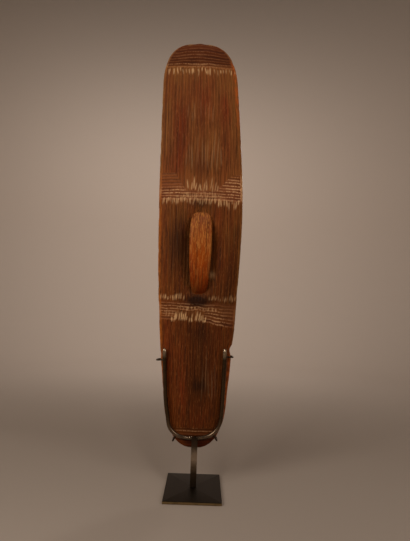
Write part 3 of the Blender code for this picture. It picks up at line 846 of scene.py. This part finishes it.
# %% Hooks that reach round the shield's edge
HOOK_RADIUS = 1.6 * MM
HOOK_RETURN = 9.0 * MM
HOOK_BEND = 3.5 * MM
HOOK_FIT = 0.98
HOOK_POINTS = 60
HOOK_TIP_POINTS = 4
# Braze swells the root of a hook by a half, over a reach in rod radii
BRAZE_SWELL = 0.55
BRAZE_REACH = 0.75
# Each hook: node, side, height over the rod's bottom, and how far it stands off the edge
HOOKS = (
    ("hook_upper_left", -1, 153 * MM, 7.5 * MM),
    ("hook_upper_right", 1, 160 * MM, 2.8 * MM),
    ("hook_lower_left", -1, 6.5 * MM, 4.2 * MM),
    ("hook_lower_right", 1, 8.5 * MM, 4.2 * MM),
)


def hook_path(side, height, standoff):
    """Centre line of a hook: out past the edge, back along it and in over the front."""
    start = cradle_point(side, height)
    ahead = cradle_point(side, height + MM) - start
    ahead /= np.linalg.norm(ahead)
    outward = side * np.array([ahead[2], 0, -ahead[0]])
    reach = np.linspace(0, 60 * MM, 2401)
    away = start + reach[:, None] * outward
    leg = reach[np.argmax(np.abs(across_at(away[:, 0], away[:, 2])[0]) >= 1)] + standoff
    last = start + np.linspace(leg - HOOK_RETURN, leg, 20)[:, None] * outward
    place, share = across_at(last[:, 0], last[:, 2])
    front = np.where(np.abs(place) < 1, face_offset(share, np.clip(place, -1, 1), FRONT_CROWN), 0).max()
    depth = np.array([0, EDGE_PLANE + front + TOUCH_GAP + HOOK_RADIUS - ROD_Y, 0])
    corners = [start + outward * (ROD_RADIUS * 0.6), start + outward * leg,
               start + outward * leg + depth, start + outward * (leg - HOOK_RETURN) + depth]
    return even_path(round_corners(corners, HOOK_BEND), HOOK_POINTS)


def make_hook(name, side, height, standoff):
    """Thin rod along its path, swollen by braze at the root and rounded over its last points."""
    path = hook_path(side, height, standoff)
    braze = 1 + BRAZE_SWELL * bell(np.linalg.norm(path - path[0], axis=1), 0, ROD_RADIUS * BRAZE_REACH)
    from_tip = np.arange(HOOK_POINTS)[::-1] / HOOK_TIP_POINTS
    tip = np.sqrt(1 - 0.8 * np.clip(1 - from_tip, 0, 1) ** 2)
    hook = swept_rod(name + "_rod", path, HOOK_RADIUS * HOOK_FIT * braze * tip, 16)
    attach(hook, "root")
    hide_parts(name)
    return hook


hooks = [make_hook(*hook) for hook in HOOKS]
print("hooks", [hook.name for hook in hooks])

# %% [markdown]
# Plate and post are flat stock. Each is an outline carried through its thickness, with the corner
# between face and side turned by a quarter circle: ring k is pulled in by r(1 - sin a) where it rises
# by r(1 - cos a). A broken edge like this is what catches a thin line of light on real steel.

# %% Flat stock with broken edges
def slab(name, outline, start, depth, edge, arcs=4):
    """Outline points (closed, counter-clockwise about depth) stacked along depth, edges rounded."""
    outline = np.asarray(outline, float)
    tangent = np.roll(outline, -1, axis=0) - np.roll(outline, 1, axis=0)
    outward = np.cross(tangent, depth / np.linalg.norm(depth))
    outward /= np.linalg.norm(outward, axis=1)[:, None]
    thick = np.linalg.norm(depth)
    angle = np.linspace(0, np.pi / 2, arcs + 1)
    inset = edge * (1 - np.sin(angle))
    rise = edge * (1 - np.cos(angle))
    inset = np.concatenate([inset, inset[::-1]])
    rise = np.concatenate([rise, thick - rise[::-1]])
    grid = outline[None] + start - inset[:, None, None] * outward[None]
    grid = grid + rise[:, None, None] * (depth / thick)
    piece = add_object(name, tube_mesh(name, grid))
    piece.data.set_sharp_from_angle(angle=math.radians(50))
    return piece


def rounded_rectangle(half_x, half_y, corner, steps=6):
    """Counter-clockwise rectangle whose corners are quarter circles."""
    angle = np.linspace(0, np.pi / 2, steps)
    points = []
    for turn, (sx, sy) in enumerate(((1, 1), (-1, 1), (-1, -1), (1, -1))):
        a = angle + turn * np.pi / 2
        points.append(np.stack([sx * (half_x - corner) + corner * np.cos(a),
                                sy * (half_y - corner) + corner * np.sin(a), 0 * a], axis=-1))
    return np.concatenate(points)


print("a rounded rectangle has", len(rounded_rectangle(1, 1, 0.1)), "points")

# %% Plate and post
PLATE_CORNER = 0.8 * MM
PLATE_EDGE = 0.5 * MM
POST_EDGE = 0.45 * MM


def make_plate():
    """Base plate, a sawn square of plate with a barely rounded edge."""
    half = (PLATE_HIGH - PLATE_LOW) / 2
    outline = rounded_rectangle(half.x, half.y, PLATE_CORNER)
    return slab("steel_base", outline, np.zeros(3), np.array([0, 0, PLATE_HIGH.z]), PLATE_EDGE)


def make_post():
    """Upright bar with a half-round top end; its outline lies in the plane of the shield."""
    radius = (POST_HIGH.x - POST_LOW.x) / 2
    angle = np.linspace(0, np.pi, 33)
    rise = POST_HIGH.z - radius + radius * np.sin(angle)
    crown = np.stack([radius * np.cos(angle), 0 * angle, rise], axis=-1)
    outline = np.concatenate([[[-radius, 0, POST_LOW.z], [radius, 0, POST_LOW.z]], crown])
    depth = np.array([0, POST_LOW.y - POST_HIGH.y, 0])
    return slab("steel_post", outline, np.array([0, POST_HIGH.y, 0]), depth, POST_EDGE)


plate = make_plate()
post = make_post()
for piece, node in ((plate, "base_plate"), (post, "post")):
    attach(piece, "root")
    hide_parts(node)
print("plate top at", round(PLATE_HIGH.z * 1000, 1), "mm, post top at", round(POST_HIGH.z * 1000, 1), "mm")

# %% [markdown]
# Materials are graphs of small nodes. Two helpers keep them readable: one turns a colour, given as an
# sRGB hex value, into the linear numbers that a shader wants, and one adds a node with its settings
# and its links.

# %% Two helpers for materials
def linear(hex_colour):
    """sRGB hex to linear RGBA: c/12.92 near black, ((c + 0.055)/1.055)^2.4 above."""
    channels = [int(hex_colour[k:k + 2], 16) / 255 for k in (1, 3, 5)]
    return tuple(c / 12.92 if c <= 0.04045 else ((c + 0.055) / 1.055) ** 2.4 for c in channels) + (1.0,)


def add(tree, kind, settings=None, **inputs):
    """Add one node; settings are its properties, inputs are values or sockets by name, or i and number."""
    node = tree.nodes.new(kind)
    for key, value in (settings or {}).items():
        setattr(node, key, value)
    for key, value in inputs.items():
        name = key.replace("_", " ")
        socket = node.inputs[int(name[1:])] if name[0] == "i" and name[1:].isdigit() else node.inputs[name]
        if isinstance(value, bpy.types.NodeSocket):
            tree.links.new(value, socket)
        else:
            socket.default_value = value
    return node


print("middle grey in linear light:", round(linear("#808080")[0], 3))

# %% [markdown]
# Old surfaces are layers: pigment, dirt, dust and wear, each where it has a reason to be, and here
# some layers are painted light and shade as well. So a finish is written as a list of layers. Each one
# has a colour, how fully it covers at most, and the fields that it follows. A field is the height over
# the ground, a noise drawn out along the wood, or a mask that the mesh carries. Two numbers after its
# name are the start and the end of a soft ramp over it.

# %% A finish as a list of layers
def fields_of(tree, place, noises):
    """The height, and each noise by name from its width, its stretch along Z and its detail."""
    fields = {"height": add(tree, "ShaderNodeSeparateXYZ", None, Vector=place).outputs["Z"]}
    for name, (width, stretch, detail) in noises.items():
        drawn_out = add(tree, "ShaderNodeMapping", None, Vector=place, Scale=(1, 1, 1 / stretch))
        fields[name] = add(tree, "ShaderNodeTexNoise", None, Vector=drawn_out.outputs[0], Scale=1 / width,
                           Detail=detail, Roughness=0.55).outputs["Fac"]
    return fields


def cover_of(tree, fields, cover, follows):
    """Greatest cover times every field that is followed, each through its ramp if it has one."""
    for name, *ends in follows:
        field = fields[name]
        if ends:
            field = add(tree, "ShaderNodeMapRange", {"interpolation_type": "SMOOTHSTEP"}, Value=field,
                        From_Min=ends[0], From_Max=ends[1]).outputs["Result"]
        cover = add(tree, "ShaderNodeMath", {"operation": "MULTIPLY"}, i0=cover, i1=field).outputs[0]
    return cover


def layered(tree, fields, stops, layers):
    """Ground colours along the height, each at its stop in metres, and every layer over them in turn."""
    low, high = stops[0][0], stops[-1][0]
    share = add(tree, "ShaderNodeMapRange", None, Value=fields["height"], From_Min=low, From_Max=high)
    ground = add(tree, "ShaderNodeValToRGB", None, Fac=share.outputs["Result"])
    elements = ground.color_ramp.elements
    for at, hex_colour in stops[1:-1]:
        elements.new((at - low) / (high - low)).color = linear(hex_colour)
    elements[0].color = linear(stops[0][1])
    elements[len(stops) - 1].color = linear(stops[-1][1])
    colour = ground.outputs["Color"]
    for hex_colour, cover, *follows in layers:
        factor = cover_of(tree, fields, cover, follows)
        colour = add(tree, "ShaderNodeMix", {"data_type": "RGBA"}, i0=factor, i6=colour,
                     i7=linear(hex_colour)).outputs[2]
    return colour


def empty_tree(material):
    """Node tree, Principled shader and object coordinates of a material."""
    material.use_nodes = True
    tree = material.node_tree
    return tree, tree.nodes["Principled BSDF"], add(tree, "ShaderNodeTexCoord").outputs["Object"]


def dress(tree, shader, colour, relief, strength, depth):
    """Link the colour, and a field as a bump of some strength and depth."""
    tree.links.new(colour, shader.inputs["Base Color"])
    bump = add(tree, "ShaderNodeBump", None, Strength=strength, Distance=depth, Height=relief)
    tree.links.new(bump.outputs[0], shader.inputs["Normal"])


print("a finish can follow the height, its noises and", len(back_masks), "masks")

# %% [markdown]
# The wood is a hard desert timber. It was rubbed with red ochre, the ochre wore off the ridges, and
# pale dust stayed in the ends of the cuts. Under that the wood darkens towards the foot, and its left
# side and left edge are painted lighter and more orange, as painted light from the main lamp on the
# left. The handle is the same wood with the ochre rubbed away by hands, so it has its own slot.

# %% Layers of the shield's wood
# Each noise: width, stretch and detail; grain and streaks are drawn ten times coarser than real pores
WOOD_NOISES = {
    "grain": (1.5 * MM, 40, 3.0),
    "streak": (2.0 * MM, 45, 3.0),
    "patch": (28 * MM, 4, 2.0),
    "mottle": (3.0 * MM, 2, 3.0),
    "flecks": (1.8 * MM, 6, 3.0),
}
WOOD_COLOURS = (
    (0.080, "#60280e"), (0.112, "#683610"), (0.125, "#68340c"), (0.320, "#6e340b"), (0.345, "#8e5428"),
    (0.365, "#6e370c"), (0.480, "#763d0e"), (0.565, "#8a4d1c"), (0.580, "#a8643c"), (0.630, "#a25e2a"),
    (0.655, "#8f5224"), (0.862, "#8f5424"), (0.870, "#6a340e"), (0.915, "#683010"),
)
WOOD_LAYERS = (
    # Painted light: the left side is lighter and more orange, as it faces the main lamp
    ("#a4571c", 0.45, ("across", -0.25, -0.98), ("height", 0.75, 0.60)),
    # Tan streaks
    ("#a87436", 0.50, ("streak", 0.48, 0.66), ("lengthwise",), ("height", 0.00, 0.65)),
    # Ochre in soft patches, then where it is thick
    ("#80300c", 0.35, ("patch", 0.46, 0.60), ("height", 0.10, 0.60), ("height", 0.88, 0.85)),
    ("#8c3612", 0.75, ("ochre",), ("streak", 0.34, 0.52), ("lengthwise",)),
    # Dark grain and pale flecks
    ("#3c1c08", 0.75, ("grain", 0.54, 0.38), ("lengthwise",), ("height", 1.50, 0.35)),
    ("#b06a34", 0.42, ("flecks", 0.54, 0.68), ("lengthwise",)),
    # Darker colour at the bottom of the cuts, more in the crosswise ones, and painted shade in the cuts
    # of the hollow's left half
    ("#381504", 1.00, ("cut",), ("cut_tone", -0.3, 0.5), ("cut_darkening",)),
    # Pink dust over the crosswise bands, and pale dust and painted highlight on their ridges
    ("#a06444", 0.35, ("crosswise",), ("mottle", 0.3, 0.7), ("height", 0.15, 0.50), ("height", 0.80, 0.70)),
    ("#f2ba82", 1.00, ("cut", 0.60, 0.10), ("mottle", 0.36, 0.56), ("ridge_dust_and_highlight",)),
    # Painted light that lifts the shade in the hollow, and the worn ridges in its left half
    ("#9a6a44", 0.22, ("hollow",)),
    ("#a87a50", 0.50, ("hollow",), ("across", 0.2, -0.4), ("cut", 0.5, 0.1), ("flecks", 0.40, 0.55)),
    # Dark spots with painted shade and shadow, and the chalk in the strokes
    ("#1c0c04", 0.85, ("dark_spots_and_shade",)),
    ("#f6c48a", 1.00, ("strokes",), ("mottle", 0.15, 0.45)),
    # Wear on the outline, painted light on the left edge, which faces the main lamp, and more wear on
    # both ends of the right one
    ("#b98a52", 0.55, ("rim",), ("flecks", 0.35, 0.60)),
    # Painted light on the left edge, whose bevel faces the main lamp, between about 0.3 and 0.6 m up
    ("#c46c22", 0.85, ("across", -0.90, -0.98), ("flecks", 0.38, 0.60), ("height", 0.66, 0.54),
     ("height", 0.14, 0.30)),
    ("#c05a1c", 0.75, ("across", 0.86, 0.95), ("flecks", 0.38, 0.60), ("height", 0.30, 0.22),
     ("height", 0.11, 0.15)),
    ("#c05a1c", 0.75, ("across", 0.86, 0.95), ("flecks", 0.38, 0.60), ("height", 0.70, 0.78),
     ("height", 0.885, 0.865)),
)
print(len(WOOD_LAYERS), "layers on the shield")

# %% Ochred hardwood of the shield
WOOD_ROUGHNESS = (0.45, 0.70)
WOOD_SPECULAR = 0.1
WOOD_BUMP = (0.8, 0.3 * MM)
CUT_DARKENING_LENGTHWISE = 0.45
CUT_DARKENING_CROSSWISE = 0.75
# Painted shade in the cuts of the hollow's left half, which faces away from the main lamp
LEFT_HOLLOW_SHADE = 0.6


def ochred_hardwood(material):
    """Carved desert hardwood, ochred and handled, with a roughness that varies in a fine mottle."""
    tree, shader, place = empty_tree(material)
    fields = fields_of(tree, place, WOOD_NOISES)
    for name in back_masks:
        fields[name] = add(tree, "ShaderNodeAttribute", {"attribute_name": name}).outputs["Fac"]
    fields["lengthwise"] = add(tree, "ShaderNodeMath", {"operation": "SUBTRACT"}, i0=1.0,
                               i1=fields["crosswise"]).outputs[0]
    cut_darkening = add(tree, "ShaderNodeMapRange", None, Value=fields["crosswise"], To_Min=CUT_DARKENING_LENGTHWISE,
               To_Max=CUT_DARKENING_CROSSWISE).outputs["Result"]
    # Painted shade: the cuts in the left half of the hollow are darkened more
    left_hollow_shade = cover_of(tree, fields, LEFT_HOLLOW_SHADE, [("hollow",), ("across", 0.2, -0.4)])
    fields["cut_darkening"] = add(tree, "ShaderNodeMath", {"operation": "ADD"}, i0=cut_darkening, i1=left_hollow_shade).outputs[0]
    dress(tree, shader, layered(tree, fields, WOOD_COLOURS, WOOD_LAYERS), fields["grain"], *WOOD_BUMP)
    rough = add(tree, "ShaderNodeMapRange", None, Value=fields["mottle"], To_Min=WOOD_ROUGHNESS[0],
                To_Max=WOOD_ROUGHNESS[1])
    tree.links.new(rough.outputs["Result"], shader.inputs["Roughness"])
    shader.inputs["Specular IOR Level"].default_value = WOOD_SPECULAR


# %% Worn wood of the handle
HANDLE_NOISES = {"grain": (1.5 * MM, 40, 3.0), "patch": (14 * MM, 6, 2.0), "flecks": (1.8 * MM, 6, 3.0)}
HANDLE_COLOURS = (
    (0.385, "#6c2800"), (0.42, "#9c3e04"), (0.46, "#aa4e0c"), (0.50, "#aa5822"), (0.545, "#92522c"),
)
# Dark grain, pale patches, and bright flecks towards the upper end
HANDLE_LAYERS = (
    ("#5e2a0c", 0.75, ("grain", 0.48, 0.58)),
    ("#c88440", 0.30, ("patch", 0.52, 0.66)),
    ("#cc823a", 0.70, ("flecks", 0.50, 0.60), ("height", 0.36, 0.52)),
)
HANDLE_ROUGHNESS = 0.5


def hand_worn_hardwood(material):
    """The same wood rubbed to orange-brown by hands; pressed flat in y, its grain follows the arch."""
    tree, shader, place = empty_tree(material)
    flat = add(tree, "ShaderNodeMapping", None, Vector=place, Scale=(1, 0.12, 1)).outputs[0]
    fields = fields_of(tree, flat, HANDLE_NOISES)
    dress(tree, shader, layered(tree, fields, HANDLE_COLOURS, HANDLE_LAYERS), fields["grain"], *WOOD_BUMP)
    shader.inputs["Roughness"].default_value = HANDLE_ROUGHNESS
    shader.inputs["Specular IOR Level"].default_value = WOOD_SPECULAR


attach(shield, "root")
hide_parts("shield")
body_slot, handle_slot = shield.data.materials
ochred_hardwood(body_slot)
hand_worn_hardwood(handle_slot)
print("shield wears", body_slot.name, "and", handle_slot.name)

# %% [markdown]
# The stand is mild steel, blackened with heat and oil and then waxed. That leaves a dark metal whose
# reflections are soft and a little brown. Its colour goes by height: the bar carries a painted
# reflection, light in a band low down where it mirrors the floor and dark below and above, the plate
# is lighter on its side than on its top, and the rod carries painted highlights on its ground tips and
# round its bend. The rod and the wire of the hooks are drawn steel, so they are smoother than the
# plate.

# %% Blackened steel of the stand
# Scratches are drawn ten times coarser than real ones, so that they show
STEEL_NOISES = {"blotch": (9 * MM, 1, 3.0), "scratch": (0.9 * MM, 8, 3.0)}
STEEL_LAYERS = (("#1c140d", 0.3, ("blotch", 0.45, 0.7)),)
STEEL_METALLIC = 0.85
STEEL_BUMP = (0.25, 0.1 * MM)
PLATE_COLOURS = ((0.0, "#8c744e"), (0.0040, "#8c744e"), (0.0046, "#251806"), (0.0052, "#251806"))
# Painted reflection on the bar: dark at its foot, light from 45 to 68 mm, darker above
POST_COLOURS_WITH_PAINTED_REFLECTION = (
    (0.005, "#4a3b2c"), (0.030, "#4a3b2c"), (0.045, "#77644f"), (0.056, "#a8947f"), (0.068, "#9a8873"),
    (0.082, "#4a3a2c"), (0.102, "#2a1f16"),
)
# Painted highlights on the rod: lighter round its bend at the bottom, bright on its tips above 262 mm
ROD_COLOURS_WITH_PAINTED_HIGHLIGHTS = (
    (0.080, "#8c7660"), (0.112, "#6c5844"), (0.135, "#4a3824"), (0.250, "#4a3824"), (0.262, "#b8a286"),
    (0.275, "#b8a286"),
)
WIRE_COLOURS = ((0.080, "#403020"), (0.275, "#403020"))


def blackened_steel(name, stops, rough):
    """Oil-blackened mild steel: colours by height, darker in blotches, with a scratched satin gloss."""
    material = bpy.data.materials.new(name)
    tree, shader, place = empty_tree(material)
    fields = fields_of(tree, place, STEEL_NOISES)
    dress(tree, shader, layered(tree, fields, stops, STEEL_LAYERS), fields["scratch"], *STEEL_BUMP)
    shader.inputs["Metallic"].default_value = STEEL_METALLIC
    gloss = add(tree, "ShaderNodeMapRange", None, Value=fields["scratch"], To_Min=rough - 0.07,
                To_Max=rough + 0.12)
    tree.links.new(gloss.outputs["Result"], shader.inputs["Roughness"])
    return material


plate.data.materials.append(blackened_steel("blackened_plate_steel", PLATE_COLOURS, 0.5))
post.data.materials.append(blackened_steel("blackened_bar_steel", POST_COLOURS_WITH_PAINTED_REFLECTION, 0.3))
cradle.data.materials.append(blackened_steel("blackened_drawn_steel", ROD_COLOURS_WITH_PAINTED_HIGHLIGHTS, 0.15))
wire_steel = blackened_steel("blackened_wire_steel", WIRE_COLOURS, 0.3)
for hook in hooks:
    hook.data.materials.append(wire_steel)
print("stand wears", [piece.data.materials[0].name for piece in (plate, post, cradle, hooks[0])])

# %% [markdown]
# The object stands on a plain pale floor that rises all round into a soft wall, like a very large
# bowl, so that the background is quiet from every side.

# %% Floor and backdrop
FLOOR_FLAT = 1.9
FLOOR_BEND = 1.1
WALL_HEIGHT = 2.6
FLOOR_GAP = 0.3 * MM
FLOOR_SECTORS = 96


def backdrop():
    """Surface of revolution: a flat disc, a quarter circle up, and an upright wall."""
    angle = np.linspace(0, np.pi / 2, 24)
    flat = np.linspace(0.05, FLOOR_FLAT, 12)[:-1]
    radius = np.concatenate([flat, FLOOR_FLAT + FLOOR_BEND * np.sin(angle), [FLOOR_FLAT + FLOOR_BEND]])
    rise = np.concatenate([0 * flat, FLOOR_BEND * (1 - np.cos(angle)), [FLOOR_BEND + WALL_HEIGHT]])
    turn = 2 * np.pi * np.arange(FLOOR_SECTORS) / FLOOR_SECTORS
    grid = np.stack([radius[:, None] * np.cos(turn), radius[:, None] * np.sin(turn),
                     rise[:, None] - FLOOR_GAP + 0 * turn], axis=-1)
    wrapped = ring_numbers(len(radius), FLOOR_SECTORS)
    points = np.concatenate([grid.reshape(-1, 3), [[0, 0, -FLOOR_GAP]]])
    inward = grid_quads(wrapped)[:, ::-1]
    return mesh_from_arrays("backdrop", points, inward, fan(len(points) - 1, wrapped[0]))


def matt_paper():
    """Pale matt backdrop paper."""
    material = bpy.data.materials.new("matt_paper")
    material.use_nodes = True
    shader = material.node_tree.nodes["Principled BSDF"]
    shader.inputs["Base Color"].default_value = linear("#bbab9c")
    shader.inputs["Roughness"].default_value = 0.95
    return material


floor = add_object("backdrop", backdrop())
floor.data.materials.append(matt_paper())
print("floor reaches", FLOOR_FLAT + FLOOR_BEND, "m from the stand")

# %% [markdown]
# A broad lamp up to the left is the main light. It rakes across the cuts and leaves the right half of
# the hollow in shade, and a weaker one to the right softens that. A small lamp above puts the bright
# line on the bent rod, one with a narrow beam lights the face of the shield from behind, and one
# washes the wall.

# %% Light
# Each lamp: place, what it faces, size, watts, colour, and the angle of its beam in degrees
LAMPS = {
    "key": ((-1.30, -1.45, 1.30), (0, 0, 0.5), 1.1, 16.0, (1.0, 0.93, 0.86), 180),
    "fill": ((1.30, -1.40, 1.20), (0, 0, 0.5), 1.1, 7.0, (1.0, 0.93, 0.87), 180),
    "above": ((0.05, -0.55, 1.60), (0, 0, 0.1), 0.12, 1.6, (1.0, 0.94, 0.88), 180),
    "back": ((0.9, 1.5, 1.25), (0, 0, 0.66), 0.4, 1.0, (1.0, 0.94, 0.88), 28),
    "wall": ((-0.2, 1.3, 1.7), (0, 3.0, 0.75), 0.8, 19.2, (1.0, 0.94, 0.91), 180),
}
ROOM_COLOUR = (1.0, 0.93, 0.86, 1.0)
ROOM_STRENGTH = 0.12


def area_lamp(name, place, target, size, power, colour, spread):
    """Square soft lamp that faces a point."""
    data = bpy.data.lights.new(name, "AREA")
    data.size = size
    data.energy = power
    data.spread = math.radians(spread)
    data.color = colour
    lamp = add_object(name, data)
    lamp.location = place
    lamp.rotation_euler = (Vector(target) - Vector(place)).to_track_quat("-Z", "Y").to_euler()


for name, settings in LAMPS.items():
    area_lamp(name, *settings)
world = bpy.data.worlds.new("room")
world.use_nodes = True
room = world.node_tree.nodes["Background"]
room.inputs["Color"].default_value = ROOM_COLOUR
room.inputs["Strength"].default_value = ROOM_STRENGTH
bpy.context.scene.world = world
bpy.context.scene.view_settings.view_transform = "Standard"
print("lamps", ", ".join(LAMPS), "with", sum(lamp[3] for lamp in LAMPS.values()), "W in all")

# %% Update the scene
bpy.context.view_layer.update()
